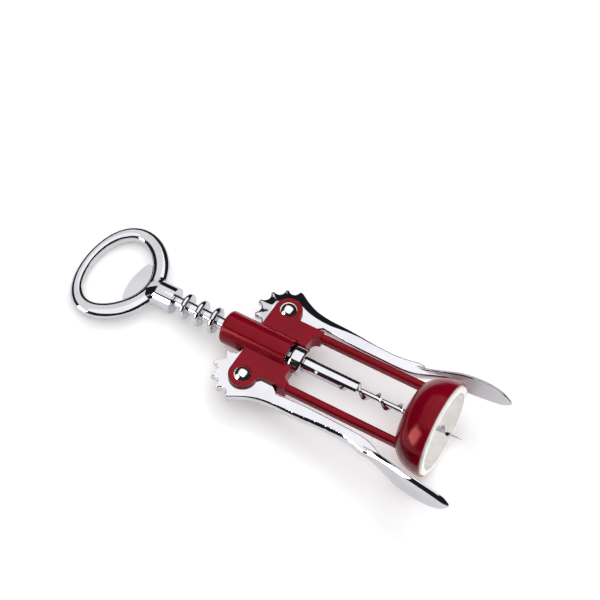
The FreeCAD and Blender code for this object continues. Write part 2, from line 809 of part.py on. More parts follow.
def build_handle():
    """Finger ring with a cap-lifter web, running into a round collar."""
    x_axis = Vector(1, 0, 0)
    sections = [bar_section(FULL_TURN * i / BAR_SECTIONS) for i in range(BAR_SECTIONS)]
    ring = Part.makeLoft(sections, True, False, True)

    root_x = COLLAR_TOP - size("neck_run")
    round_end = Part.Wire([Part.Circle(Vector(COLLAR_TOP, 0, 0), x_axis, size("collar_radius")).toShape()])
    flat_end = Part.Ellipse(Vector(root_x, 0, 0), size("neck_spread"), size("ring_thick") * NECK_FLAT / 2)
    flat_end.Axis = x_axis
    flat_wire = Part.Wire([flat_end.toShape()])
    neck = Part.makeLoft([round_end, flat_wire], True, True)
    collar_start = Vector(COLLAR_TOP, 0, 0)
    collar = Part.makeCylinder(size("collar_radius"), COLLAR_END - COLLAR_TOP, collar_start, x_axis)

    wide = size("lifter_half_wide")
    chord = RING_X + size("ring_half_long") - size("lifter_reach")
    hollow = Part.Arc(
        Vector(chord, wide, 0), Vector(chord - size("lifter_hollow"), 0, 0), Vector(chord, -wide, 0),
    )
    side = [(chord + size("lifter_reach") * u, wide * w) for u, w in LIFTER_SHAPE]
    rest = spline([(x, -y) for x, y in side] + side[-2::-1])
    lifter = Part.Face(Part.Wire([hollow.toShape(), rest.toShape()]))
    lifter = lifter.extrude(Vector(0, 0, size("lifter_thick")))
    lifter.translate(Vector(0, 0, -size("lifter_thick") / 2))

    fit = size("rod_radius") + size("press_gap")
    socket = Part.makeCylinder(
        fit, size("collar_long") + 1, Vector(ROD_TOP - size("end_gap"), 0, 0), x_axis,
    )
    return feature("handle_ring", ring.fuse([neck, collar, lifter]).cut(socket))


# ---------------------------------------------------------------- assembly

pieces = [
    build_frame(),
    build_liner(),
    build_rivet("left_rivet", 1),
    build_rivet("right_rivet", -1),
    build_lever("left_lever", 1),
    build_lever("right_lever", -1),
    build_rack(),
    build_rod(),
    build_worm(),
    build_pin(),
    build_handle(),
]
doc.recompute()

for item in doc.Objects:
    if "Invalid" in item.State or "Error" in item.State:
        raise RuntimeError("%s is in state %s" % (item.Label, item.State))

os.makedirs("parts", exist_ok=True)
for piece in pieces:
    shape = piece.Shape
    if shape.isNull() or not shape.isValid():
        raise RuntimeError(piece.Label + " has no valid shape")
    shape.exportStep("parts/%s.step" % piece.Label)
    box = shape.BoundBox
    print("%-16s volume %9.1f  solids %d  x %7.1f %6.1f  y %6.1f %6.1f  z %6.1f %6.1f" % (
        piece.Label, shape.Volume, len(shape.Solids),
        box.XMin, box.XMax, box.YMin, box.YMax, box.ZMin, box.ZMax,
    ))
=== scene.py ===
# %% [markdown]
# # A double-lever corkscrew
# This notebook dresses a corkscrew whose solid parts come from a CAD model. The CAD
# parts already sit in the right place, in metres, so nothing here is measured again.
# Each step says what the real piece is, how it could be made in Blender, and why it
# is made the way it is.

# %% Load the imported CAD model
import math

import bpy
import numpy as np
from mathutils import Matrix, Vector
from mathutils.geometry import delaunay_2d_cdt


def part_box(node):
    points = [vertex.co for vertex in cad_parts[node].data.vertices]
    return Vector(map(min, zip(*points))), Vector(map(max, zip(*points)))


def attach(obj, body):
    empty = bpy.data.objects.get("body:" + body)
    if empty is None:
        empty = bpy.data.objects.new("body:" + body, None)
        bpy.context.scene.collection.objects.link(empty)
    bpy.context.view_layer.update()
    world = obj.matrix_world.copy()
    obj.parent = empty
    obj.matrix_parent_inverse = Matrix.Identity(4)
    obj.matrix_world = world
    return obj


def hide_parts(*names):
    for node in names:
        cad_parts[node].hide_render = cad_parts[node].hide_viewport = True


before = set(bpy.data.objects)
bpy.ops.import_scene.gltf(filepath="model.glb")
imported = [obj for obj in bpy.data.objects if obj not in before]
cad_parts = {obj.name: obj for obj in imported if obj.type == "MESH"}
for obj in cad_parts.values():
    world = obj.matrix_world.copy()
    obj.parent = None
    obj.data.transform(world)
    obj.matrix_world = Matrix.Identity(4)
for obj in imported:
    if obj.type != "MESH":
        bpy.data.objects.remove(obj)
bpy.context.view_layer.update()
MM = 0.001
print("parts:", ", ".join(sorted(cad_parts)))

# %% [markdown]
# ## The size of things
# The CAD parts give the pivots, the rim of the bell and the ring. They could be typed
# in as numbers, but reading them from the parts keeps the new pieces on their seats if
# the model is built in another size.

# %% Read the pivots and the ends from the parts
rivet_low, rivet_high = (Vector(corner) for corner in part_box("left_rivet"))
PIVOT = (rivet_low + rivet_high) / 2
case_low, case_high = (Vector(corner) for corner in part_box("frame_casting"))
lever_low, lever_high = (Vector(corner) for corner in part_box("left_lever"))
ring_low, ring_high = (Vector(corner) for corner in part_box("handle_ring"))
print("left pivot in mm:", [round(v / MM, 2) for v in PIVOT])
print("handle, casting and lever lengths in mm:", [
    round((high.x - low.x) / MM, 1)
    for low, high in ((ring_low, ring_high), (case_low, case_high), (lever_low, lever_high))
])

# %% [markdown]
# ## Finishes
# A finish is a node material: one Principled shader with a few noise nodes that
# break up its roughness and its surface. Every pattern reads Object coordinates, so
# it stays put when the lever or the screw turns. Numbers that are the same all over
# sit on the shader itself.


# %% Start a finish
def new_finish(name):
    """Empty finish: its material, node tree, shader and Object coordinates."""
    finish = bpy.data.materials.new(name)
    finish.use_nodes = True
    tree = finish.node_tree
    coords = tree.nodes.new("ShaderNodeTexCoord").outputs["Object"]
    return finish, tree, tree.nodes["Principled BSDF"], coords


# %% [markdown]
# ### Noise, and what it drives
# No workshop surface is even. A noise value wanders smoothly from place to place, and
# the same value can drive the colour, the roughness and the height, so that the three
# change together as they do on a real casting. Four small helpers keep each finish
# short enough to read at a glance.


# %% A noise value
def noise(tree, coords, scale, detail=2.0, stretch=(1, 1, 1)):
    """Noise value on Object coordinates, each axis first multiplied by its stretch."""
    mapping = tree.nodes.new("ShaderNodeMapping")
    mapping.inputs["Scale"].default_value = stretch
    texture = tree.nodes.new("ShaderNodeTexNoise")
    texture.inputs["Scale"].default_value = scale
    texture.inputs["Detail"].default_value = detail
    tree.links.new(coords, mapping.inputs["Vector"])
    tree.links.new(mapping.outputs["Vector"], texture.inputs["Vector"])
    return texture.outputs["Fac"]


# %% A value carried over to a range
NOISE_RANGE = (0.3, 0.7)


def between(tree, value, low, high):
    """Straight line that takes the usual range of a noise value to low and high."""
    scale = tree.nodes.new("ShaderNodeMapRange")
    scale.inputs["From Min"].default_value = NOISE_RANGE[0]
    scale.inputs["From Max"].default_value = NOISE_RANGE[1]
    scale.inputs["To Min"].default_value = low
    scale.inputs["To Max"].default_value = high
    tree.links.new(value, scale.inputs["Value"])
    return scale.outputs["Result"]


# %% A colour that drifts
TONE_RANGE = (0.35, 0.65)


def two_tones(tree, value, first, second):
    """Colour that goes straight from one tone to the other over the tone range."""
    ramp = tree.nodes.new("ShaderNodeValToRGB")
    for stop, place, tone in zip(ramp.color_ramp.elements, TONE_RANGE, (first, second)):
        stop.position = place
        stop.color = (*tone, 1)
    tree.links.new(value, ramp.inputs["Fac"])
    return ramp.outputs["Color"]


# %% A surface with bumps
BEVEL_SAMPLES = 6
CAST_CORNER = 0.3 * MM
MOULDED_CORNER = 0.4 * MM


def bumps(tree, value, depth, round_off=0.0):
    """Normal of a surface raised by value times depth in metres. Edges are rounded
    off first, by averaging the normals within a radius."""
    bump = tree.nodes.new("ShaderNodeBump")
    bump.inputs["Distance"].default_value = depth
    tree.links.new(value, bump.inputs["Height"])
    if round_off:
        soft = tree.nodes.new("ShaderNodeBevel")
        soft.samples = BEVEL_SAMPLES
        soft.inputs["Radius"].default_value = round_off
        tree.links.new(soft.outputs["Normal"], bump.inputs["Normal"])
    return bump.outputs["Normal"]


print("corners rounded off by", CAST_CORNER / MM, "mm on metal and", MOULDED_CORNER / MM, "on plastic")

# %% [markdown]
# ### Chrome plate
# Chrome is a metal that reflects almost everything, a little cooler than white. A
# perfect mirror looks like glass, because real plate is never quite flat: long soft
# waves bend its reflections, and fine wiping marks make it slightly rougher in
# places. The rack's discs are turned with soft corners, so they get a second chrome
# whose edges are rounded off by the shader, which leaves the CAD mesh alone.

# %% Chrome plate
PLATE_WAVE = 0.02 * MM


def chrome_plate(name, round_off=0.0):
    """Bright chrome: cool tint and long shallow waves from one noise, roughness from
    a finer noise that is stretched into wiping marks."""
    finish, tree, shader, coords = new_finish(name)
    shader.inputs["Metallic"].default_value = 1.0
    drift = noise(tree, coords, 90)
    wiping = noise(tree, coords, 900, 4, (1, 0.15, 1))
    tint = two_tones(tree, drift, (0.55, 0.55, 0.58), (0.61, 0.61, 0.64))
    tree.links.new(tint, shader.inputs["Base Color"])
    tree.links.new(between(tree, wiping, 0.02, 0.07), shader.inputs["Roughness"])
    tree.links.new(bumps(tree, drift, PLATE_WAVE, round_off), shader.inputs["Normal"])
    return finish


chrome = chrome_plate("chrome_plate")
soft_chrome = chrome_plate("chrome_plate_soft_edges", CAST_CORNER)
print("chrome finishes:", chrome.name, soft_chrome.name)

# %% [markdown]
# ### Dished ears
# The four ears that hold the levers are cast a little dished, and so is the crown of
# the casting beside them. A dish this shallow could be cut into the mesh, but only its
# tilt shows, as a change in what the paint mirrors. So it is a height that the shader
# turns into a tilt, and the CAD mesh stays as it is.

# %% Height of the dished ears
DISHED_FROM = 8 * MM
DISH_SLOPE = 0.075


def dished_ears(tree, coords):
    """Height in metres: DISH_SLOPE times how far a point is beyond DISHED_FROM from
    the screw axis, on both sides, and 0 nearer to the axis."""
    split = tree.nodes.new("ShaderNodeSeparateXYZ")
    tree.links.new(coords, split.inputs["Vector"])
    value = split.outputs["Y"]
    for operation, number in (
        ("ABSOLUTE", 0.0), ("SUBTRACT", DISHED_FROM), ("MAXIMUM", 0.0), ("MULTIPLY", DISH_SLOPE),
    ):
        step = tree.nodes.new("ShaderNodeMath")
        step.operation = operation
        step.inputs[1].default_value = number
        tree.links.new(value, step.inputs[0])
        value = step.outputs["Value"]
    return value


print("the ears tilt by", round(math.degrees(math.atan(DISH_SLOPE)), 1), "degrees")

# %% [markdown]
# ### Crimson paint
# The casting is dipped in a candy paint: a deep crimson that tints its own shine. A
# red Specular Tint does that, and still turns white where the light grazes. The
# slight ripple of sprayed paint, called orange peel, is a shallow noise added to the
# dish of the ears. The Bevel node gives the light the casting's rounded corners.

# %% Crimson paint
PEEL_DEPTH = 0.005 * MM
paint, tree, shader, coords = new_finish("crimson_paint")
depth = noise(tree, coords, 60, 3)
peel = noise(tree, coords, 700, 2)
ripple = tree.nodes.new("ShaderNodeMath")
ripple.operation = "MULTIPLY_ADD"
ripple.inputs[1].default_value = PEEL_DEPTH
tree.links.new(peel, ripple.inputs[0])
tree.links.new(dished_ears(tree, coords), ripple.inputs[2])
crimson = two_tones(tree, depth, (0.20, 0.0006, 0.009), (0.26, 0.001, 0.013))
tree.links.new(crimson, shader.inputs["Base Color"])
tree.links.new(between(tree, peel, 0.13, 0.20), shader.inputs["Roughness"])
tree.links.new(bumps(tree, ripple.outputs["Value"], 1.0, CAST_CORNER), shader.inputs["Normal"])
shader.inputs["Specular IOR Level"].default_value = 0.4
shader.inputs["Specular Tint"].default_value = (1.0, 0.2, 0.2, 1)
shader.inputs["Coat Weight"].default_value = 0.03
shader.inputs["Coat Roughness"].default_value = 0.04
print("paint:", paint.name, "with", len(tree.nodes), "nodes")

# %% [markdown]
# ### Ivory plastic
# The liner is a moulded cup of ivory plastic with a faint mottle and a soft gloss. A
# little light goes into plastic and comes out beside where it went in, which
# Subsurface does, and without it the cup would look like painted metal.

# %% Ivory plastic
ivory, tree, shader, coords = new_finish("ivory_plastic")
mottle = noise(tree, coords, 220, 4)
cream = two_tones(tree, mottle, (0.88, 0.86, 0.83), (0.93, 0.91, 0.89))
tree.links.new(cream, shader.inputs["Base Color"])
tree.links.new(between(tree, mottle, 0.22, 0.34), shader.inputs["Roughness"])
tree.links.new(bumps(tree, mottle, 0.01 * MM, MOULDED_CORNER), shader.inputs["Normal"])
shader.inputs["Subsurface Weight"].default_value = 0.15
shader.inputs["Subsurface Radius"].default_value = (2 * MM, 1.6 * MM, 1.2 * MM)
print("plastic:", ivory.name)

# %% [markdown]
# ### Nickel rivets
# Each lever turns on a nickel rivet with a domed head, turned on a lathe, so fine
# rings run round it. A Wave texture of kind Rings makes them, once a Mapping node has
# moved its centre to the rivet. The two rivets have their own centres, and so each has
# its own finish.


# %% Nickel rivets with lathe rings
def rivet_finish(name, centre):
    """Warm nickel whose roughness and height follow a sine of the distance from the
    rivet's axis."""
    finish, tree, shader, coords = new_finish(name)
    shader.inputs["Metallic"].default_value = 1.0
    mapping = tree.nodes.new("ShaderNodeMapping")
    mapping.inputs["Location"].default_value = (-centre.x, -centre.y, 0)
    rings = tree.nodes.new("ShaderNodeTexWave")
    rings.wave_type = "RINGS"
    rings.rings_direction = "Z"
    rings.inputs["Scale"].default_value = 1600
    rings.inputs["Distortion"].default_value = 0.6
    tree.links.new(coords, mapping.inputs["Vector"])
    tree.links.new(mapping.outputs["Vector"], rings.inputs["Vector"])
    tone = two_tones(tree, noise(tree, coords, 400), (0.80, 0.76, 0.71), (0.90, 0.87, 0.83))
    tree.links.new(tone, shader.inputs["Base Color"])
    tree.links.new(between(tree, rings.outputs["Fac"], 0.07, 0.14), shader.inputs["Roughness"])
    turned = bumps(tree, rings.outputs["Fac"], 0.002 * MM, CAST_CORNER)
    tree.links.new(turned, shader.inputs["Normal"])
    return finish


left_nickel = rivet_finish("nickel_left_rivet", PIVOT)
right_nickel = rivet_finish("nickel_right_rivet", Vector((PIVOT.x, -PIVOT.y, PIVOT.z)))
print("rivet finishes:", left_nickel.name, right_nickel.name)

# %% [markdown]
# ### Drawn steel
# The rod inside the rack and the cross pin are plain steel, pulled through a die that
# leaves fine lines along them. The same noise helper makes the lines: a stretch far
# below 1 along the rod draws each speck out into a long streak.

# %% Drawn steel
steel, tree, shader, coords = new_finish("drawn_steel")
shader.inputs["Metallic"].default_value = 1.0
lines = noise(tree, coords, 2500, 3, (0.02, 1, 1))
grey = two_tones(tree, lines, (0.55, 0.55, 0.57), (0.66, 0.66, 0.68))
tree.links.new(grey, shader.inputs["Base Color"])
tree.links.new(between(tree, lines, 0.18, 0.32), shader.inputs["Roughness"])
tree.links.new(bumps(tree, lines, 0.003 * MM), shader.inputs["Normal"])
print("steel:", steel.name)

# %% [markdown]
# ### A finish for each part
# Every CAD part comes with a plain material. Its slots are cleared and filled with the
# finish that the real piece has, and its mesh is never touched. The two levers get
# chrome too, although finer pieces will take their place.

# %% Give each CAD part its finish
FINISHES = {
    "frame_casting": paint,
    "bell_liner": ivory,
    "left_rivet": left_nickel,
    "right_rivet": right_nickel,
    "spindle_rod": steel,
    "worm_pin": steel,
    "worm": chrome,
    "rack_sleeve": soft_chrome,
    "handle_ring": chrome,
    "left_lever": chrome,
    "right_lever": chrome,
}
for name, finish in FINISHES.items():
    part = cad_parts[name]
    part.data.materials.clear()
    part.data.materials.append(finish)
print("finished parts:", len(FINISHES), "of", len(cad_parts))

# %% [markdown]
# ## The levers
# Each lever is a flat casting with a toothed head and a thumb leaf across its end. Its
# long edges are smooth curves that a pattern maker draws with a bent batten. A spline
# through a few points behaves like that batten, so the outline needs only the points
# where the real edge changes its bend.


# %% The smooth curve through some points
def smooth_through(points, count):
    """Natural cubic spline: on each stretch a cubic whose slope and bend match its
    neighbours', with no bend at the two ends, and chord length as the parameter."""
    points = np.asarray(points, float)
    knots = np.r_[0, np.cumsum(np.linalg.norm(np.diff(points, axis=0), axis=1))]
    gap = np.diff(knots)
    last = len(points) - 1
    inner = np.arange(1, last)
    system = np.eye(last + 1)
    system[inner, inner - 1] = gap[:-1]
    system[inner, inner] = 2 * (gap[:-1] + gap[1:])
    system[inner, inner + 1] = gap[1:]
    target = np.zeros_like(points)
    target[1:-1] = 6 * np.diff(np.diff(points, axis=0) / gap[:, None], axis=0)
    bend = np.linalg.solve(system, target)
    where = np.linspace(0, knots[-1], count)
    k = np.clip(np.searchsorted(knots, where) - 1, 0, last - 1)
    a = ((knots[k + 1] - where) / gap[k])[:, None]
    b = 1 - a
    sag = ((a ** 3 - a) * bend[k] + (b ** 3 - b) * bend[k + 1]) * (gap[k] ** 2)[:, None] / 6
    return a * points[k] + b * points[k + 1] + sag


batten = smooth_through([(0, 0), (1, 1), (2, 0)], 5)
print("a batten through three points:", batten.round(2).tolist())

# %% [markdown]
# ### Arcs
# The valleys between the teeth are round, because the rack's discs roll in them. An
# arc is known by its two ends and one point on the way, which is how it would be set
# out with compasses.


# %% The arc through three points
def arc_through(start, middle, end, count):
    """Circle arc through three points: its centre is equally far from all three, and
    its points are spread evenly over the angle between the ends."""
    start, middle, end = (np.asarray(p, float) for p in (start, middle, end))
    rows = 2 * np.array([middle - start, end - start])
    squares = np.array([middle @ middle - start @ start, end @ end - start @ start])
    centre = np.linalg.solve(rows, squares)
    radius = np.linalg.norm(start - centre)
    angles = np.unwrap([math.atan2(*(p - centre)[::-1]) for p in (start, middle, end)])
    turn = np.linspace(angles[0], angles[2], count)
    return centre + radius * np.stack([np.cos(turn), np.sin(turn)], axis=1)


quarter_turn = arc_through((1, 0), (math.sqrt(0.5), math.sqrt(0.5)), (0, 1), 5)
print("an arc stays at radius", np.linalg.norm(quarter_turn, axis=1).round(6))

# %% [markdown]
# ### The outline of a lever
# Seven teeth sit on the head, one every 6.08 mm of a circle that rolls along the rack.
# The last teeth are cut lower, so that they clear the casting. The outline is kept in
# two runs, because the outer one will be crowned and the inner one stays plain. All
# sizes are millimetres from the pivot, with x along the arm.

# %% The teeth
TOOTH_PITCH = 6.08
ROLLING_RADIUS = 11.9
TOOTH_STEP = TOOTH_PITCH / ROLLING_RADIUS
TOOTH_TIPS = np.array([12.2, 12.2, 12.2, 12.2, 11.35, 10.5, 10.5])
HALF_TIP = 0.8 / TOOTH_TIPS[0]
VALLEY_DEPTH = 1.9


def round_pivot(radius, angle):
    """Point at a radius and an angle about the pivot: minus radius times the sine
    along the arm, and minus radius times the cosine towards the screw axis."""
    return np.stack([-radius * np.sin(angle), -radius * np.cos(angle)], axis=-1)


def toothed_head():
    """Flat tips, each an arc about the pivot, joined by arcs through the valleys."""
    runs = []
    for k, tip in enumerate(TOOTH_TIPS):
        here = k * TOOTH_STEP
        runs.append(round_pivot(tip, np.linspace(here - HALF_TIP, here + HALF_TIP, 4)))
        if k < len(TOOTH_TIPS) - 1:
            following = TOOTH_TIPS[k + 1]
            valley_radius = (tip + following) / 2 - VALLEY_DEPTH
            start = round_pivot(tip, here + HALF_TIP)
            valley = round_pivot(valley_radius, here + TOOTH_STEP / 2)
            end = round_pivot(following, here + TOOTH_STEP - HALF_TIP)
            runs.append(arc_through(start, valley, end, 14)[1:-1])
    return np.concatenate(runs)


head_run = toothed_head()
print("toothed head:", len(TOOTH_TIPS), "teeth,", len(head_run), "points")

# %% [markdown]
# ### The long edges
# The outer edge leaves the last tooth, pulls in beside the casting and runs straight
# to the leaf. The inner edge follows it, bends out with the leaf, and turns round a
# heel back to the first tooth. The web ends inside the leaf, so no gap shows.

# %% The two runs of the outline
OUTER_EDGE = [(3.6, 8.3), (8.5, 6.2), (14.5, 5.2), (22.5, 4.85), (48.5, 4.75), (53.5, 5.2)]
INNER_EDGE = [
    (14.5, 0.4), (27.0, -0.5), (40.0, -0.5), (48.0, -0.3), (52.0, 0.4), (57.5, 2.8),
    (62.0, 4.7), (69.5, 6.9), (80.0, 7.8),
]
LEAF_PATH = [
    (48.5, 4.75), (51.5, 4.9), (55.0, 5.25), (58.5, 5.95), (62.5, 7.0), (67.0, 8.2),
    (72.5, 9.0), (77.0, 9.35), (81.0, 9.4), (84.5, 9.15), (86.6, 8.85), (87.4, 8.75),
]
WEB_BEHIND_LEAF = 0.56
ARM_END = (86.4, 7.4)
HEEL_BEND = (7.6, -5.4)
HEEL_RADIUS = 10.3


def lever_outline():
    """Outline of the lever in two runs: the crowned one with the teeth and the outer
    edge, and the plain inner one, each a smooth curve through its points."""
    tail = [(x, y - WEB_BEHIND_LEAF) for x, y in LEAF_PATH[2:-1]]
    outer = smooth_through([tuple(head_run[-1])] + OUTER_EDGE + tail, 170)
    back = smooth_through([ARM_END] + INNER_EDGE[::-1], 120)
    heel = round_pivot(HEEL_RADIUS, -0.5 * TOOTH_PITCH / HEEL_RADIUS)
    turn = arc_through(back[-1], HEEL_BEND, heel, 24)
    return np.concatenate([head_run, outer[1:]]), np.concatenate([back, turn[1:]])


crowned_run, inner_run = lever_outline()
print("outline points:", len(crowned_run) + len(inner_run))

# %% [markdown]
# ### Measuring from the rim
# The outer edge of the casting is crowned: the top slopes down towards the rim, and
# that slope is what turns black in a polished part, because it mirrors the dark room
# and not the light overhead. A Bevel modifier can't make a slope wider than a tooth,
# so the lever is made as a height field: its height depends on how far a point is
# from the rim. That takes three measures, each worked out for all points at once.


# %% How far, and inside or not
def distance_to(points, line):
    """Shortest distance from each point to a chain of straight stretches: the foot of
    the perpendicular, held between the two ends of its stretch."""
    first, step = line[:-1], np.diff(line, axis=0)
    along = ((points[:, None] - first) * step).sum(2) / np.maximum((step ** 2).sum(1), 1e-12)
    nearest = first + np.clip(along, 0, 1)[:, :, None] * step
    return np.sqrt(((points[:, None] - nearest) ** 2).sum(2)).min(1)


def nearest_gap(points, others):
    """Distance from each point to the nearest of the others: the root of the two
    squared differences, and the least of these."""
    across = points[:, None, 0] - others[:, 0]
    along = points[:, None, 1] - others[:, 1]
    return np.hypot(across, along).min(1)


def inside(points, loop):
    """True where a ray towards +x crosses the closed loop an odd number of times."""
    a, b = loop, np.roll(loop, -1, axis=0)
    height = points[:, None, 1]
    straddles = (a[:, 1] > height) != (b[:, 1] > height)
    with np.errstate(divide="ignore", invalid="ignore"):
        cross = a[:, 0] + (height - a[:, 1]) * (b[:, 0] - a[:, 0]) / (b[:, 1] - a[:, 1])
    return ((straddles & (points[:, None, 0] < cross)).sum(1) % 2).astype(bool)


lever_loop = np.concatenate([crowned_run, inner_run])
middles = np.array([[30.0, 2.0], [30.0, 12.0]])
print("inside the arm, and beside it:", inside(middles, lever_loop))
print("their distances from the outer edge in mm:", distance_to(middles, crowned_run).round(2))

# %% [markdown]
# ### The crown
# The left lever's slope is wide by the pivot and fades along the arm. The right lever
# was polished harder: its slope is narrow and steep, and fades only at the leaf. A
# small round at every rim catches the light as a thin bright line.

# %% The height of the crown
HALF_THICK = 1.5
EDGE_ROUND = 0.35
# each row: millimetres along the arm, width of the slope, how far it falls
WIDE_SLOPE = np.array([
    (-13, 3.7, 0.75), (3, 3.5, 0.7), (8, 3.1, 0.62), (16, 2.6, 0.52), (22.5, 1.5, 0.3),
    (28, 0.8, 0.2), (36, 0.5, 0.15), (90, 0.45, 0.15),
])
STEEP_SLOPE = np.array([
    (-13, 0.3, 0.4), (4, 0.4, 0.6), (11, 0.7, 1.1), (24, 0.95, 1.5), (38, 1.15, 1.85),
    (48, 1.1, 1.75), (54, 0.5, 0.7), (90, 0.4, 0.4),
])


def slope_width(points, slope):
    """Width of the slope at each point, read off its table along the arm."""
    return np.interp(points[:, 0], slope[:, 0], slope[:, 1])


def crown_height(points, slope):
    """Height of the top face: half the thickness, less a straight slope that falls
    towards the crowned rim, less a quarter round at every rim."""
    far = distance_to(points, crowned_run)
    near = distance_to(points, inner_run)
    drop = np.interp(points[:, 0], slope[:, 0], slope[:, 2])
    edge = np.clip(1 - np.minimum(far, near) / EDGE_ROUND, 0, 1)
    quarter = EDGE_ROUND * (1 - np.sqrt(np.clip(1 - edge ** 2, 0, 1)))
    return HALF_THICK - drop * np.clip(1 - far / slope_width(points, slope), 0, 1) - quarter


print("top of the arm at its middle:", crown_height(middles[:1], WIDE_SLOPE).round(3), "mm")

# %% [markdown]
# ### Where the corners go
# A height field shows its shape only where it has corners. Plain squares would leave
# a ragged slope, so rings of corners follow the rim at the distances where the height
# bends: three in the round and three along the slope. Squares fill what is left, and
# keep off the rings, so that no triangle is a sliver.

# %% Corners on rings and on squares
GRID_STEP = 0.42
GRID_OFF_RIM = 0.45
GRID_OFF_RINGS = 0.14
ROUND_RINGS = (0.08, 0.2, 0.35)
SLOPE_RINGS = (0.5, 0.97, 1.05)
RING_KEPT_FROM = 0.97
BORE = 2.05
GRID_OFF_BORE = 0.2


def shrink(loop, step):
    """Loop moved inwards by a step along the normals of its corners, where a corner's
    normal is square to the line between its two neighbours."""
    forward = np.roll(loop, -1, axis=0) - np.roll(loop, 1, axis=0)
    forward /= np.linalg.norm(forward, axis=1)[:, None]
    after = np.roll(loop, -1, axis=0)
    area = 0.5 * np.sum(loop[:, 0] * after[:, 1] - loop[:, 1] * after[:, 0])
    left = np.stack([-forward[:, 1], forward[:, 0]], axis=1) * np.sign(area)
    return loop + left * step


def corners_within(loop, slope):
    """Corners inside the loop: rings, each the loop shrunk by its own step and kept
    where no other edge is nearer, then squares a little off the rings and the rim."""
    rim = np.concatenate([loop, loop[:1]])
    wide = slope_width(loop, slope)[:, None]
    steps = [np.full_like(wide, step) for step in ROUND_RINGS]
    rings = []
    for step in steps + [wide * share for share in SLOPE_RINGS]:
        ring = shrink(loop, step)
        clear = distance_to(ring, rim) > step[:, 0] * RING_KEPT_FROM
        rings.append(ring[inside(ring, loop) & clear])
    rings = np.concatenate(rings)
    columns, rows = (np.arange(a, b, GRID_STEP) for a, b in zip(loop.min(0), loop.max(0)))
    grid = np.stack(np.meshgrid(columns, rows), -1).reshape(-1, 2)
    grid = grid[inside(grid, loop)]
    off_rim = distance_to(grid, rim) > GRID_OFF_RIM
    grid = grid[off_rim & (nearest_gap(grid, rings) > GRID_OFF_RINGS)]
    fill = np.concatenate([rings, grid])
    return fill[np.linalg.norm(fill, axis=1) > BORE + GRID_OFF_BORE]


print("corners in the left lever:", len(corners_within(lever_loop, WIDE_SLOPE)))

# %% [markdown]
# ### Filling the outline
# Many corners and two outlines have to become triangles. Blender's own fill would
# ignore the corners inside, so a Delaunay triangulation does it: it joins near
# neighbours and avoids thin triangles, and it can be told which edges it must keep.

# %% Triangles round the bore
BORE_CORNERS = 48
SAME_CORNER = 1e-5


def closed_chain(first, count):
    """Edges that join count corners, from number first on, into a ring."""
    ring = first + np.arange(count)
    return np.c_[ring, np.roll(ring, -1)]


def fill_outline(loop, fill):
    """Flat corners and triangles between the loop and the bore, which is a circle of
    BORE_CORNERS sides. A triangle stays if its middle is inside the loop and outside
    the bore."""
    turn = np.linspace(0, 2 * np.pi, BORE_CORNERS, endpoint=False)
    bore = BORE * np.stack([np.cos(turn), np.sin(turn)], axis=1)
    points = np.concatenate([loop, bore, fill])
    edges = np.concatenate([closed_chain(0, len(loop)), closed_chain(len(loop), BORE_CORNERS)])
    flat, _, faces, _, _, _ = delaunay_2d_cdt(points.tolist(), edges.tolist(), [], 0, SAME_CORNER)
    flat, faces = np.array(flat), np.array(faces)
    middle = flat[faces].mean(1)
    return flat, faces[inside(middle, loop) & (np.linalg.norm(middle, axis=1) > BORE)]


# %% [markdown]
# ### The web as a closed plate
# The same flat triangles serve twice, for the top at the crown's height and for the
# underside, which a die casts with a fifth of that crown. A wall joins them along
# every edge that only one triangle has, which closes the plate and lines its bore.

# %% A plate with a crown
UNDERSIDE_SHARE = 0.2


def crowned_plate(slope):
    """Closed plate: corners, triangles and wall squares. The top is crown_height, the
    underside is minus half the thickness plus UNDERSIDE_SHARE of what the top fell."""
    flat, faces = fill_outline(lever_loop, corners_within(lever_loop, slope))
    top = crown_height(flat, slope)
    under = -HALF_THICK + UNDERSIDE_SHARE * (HALF_THICK - top)
    verts = np.concatenate([np.c_[flat, top], np.c_[flat, under]])
    directed = np.concatenate([faces[:, [0, 1]], faces[:, [1, 2]], faces[:, [2, 0]]])
    _, back, times = np.unique(
        np.sort(directed, axis=1), axis=0, return_inverse=True, return_counts=True
    )
    start, end = directed[times[back.ravel()] == 1].T
    count = len(flat)
    wall = np.c_[end, start, start + count, end + count]
    return verts, [np.concatenate([faces, faces[:, ::-1] + count]), wall]


# %% [markdown]
# ## The thumb leaf
# The leaf stands across the lever's end, where a thumb presses it. It is a profile
# carried along a path: a thin rounded section, taller in the middle of the leaf and
# closing to a point at both ends. Its corners are cut twice instead of bevelled,
# because cut corners stay round however thin the section gets.

# %% The section of the leaf
SECTION_SKIN = 1.9
FACE_POINTS = 6
SMALL_LEAF = 2.5


def leaf_section(tall, skin):
    """Closed corners of the leaf's section at each station: a flat outer face, a steep
    slope at its top, a plain inner face and small slopes below, then two rounds of
    corner cutting, where each corner gives way to points 1/4 and 3/4 along its sides."""
    small = np.minimum(1, tall / SMALL_LEAF)
    half = skin / 2
    face = np.linspace(0, 1, FACE_POINTS)[None, :]
    low, high = (-(tall - 0.7 * small))[:, None], (tall - 1.45 * small)[:, None]
    thick = np.repeat(half[:, None], FACE_POINTS, 1)
    outer = np.stack([thick, low + face * (high - low)], -1)
    top = np.stack([np.c_[-half + 0.45 * half, -half], np.c_[tall, tall - 0.4 * small]], -1)
    back = np.stack([-thick, high + face * (low - high)], -1)
    foot = np.stack([np.c_[-half * 0.5, half * 0.4], np.c_[-tall, -tall]], -1)
    ring = np.concatenate([outer, top, back, foot], axis=1)
    for _ in range(2):
        after = np.roll(ring, -1, axis=1)
        pairs = np.stack([0.75 * ring + 0.25 * after, 0.25 * ring + 0.75 * after], axis=2)
        ring = pairs.reshape(len(ring), -1, 2)
    return ring


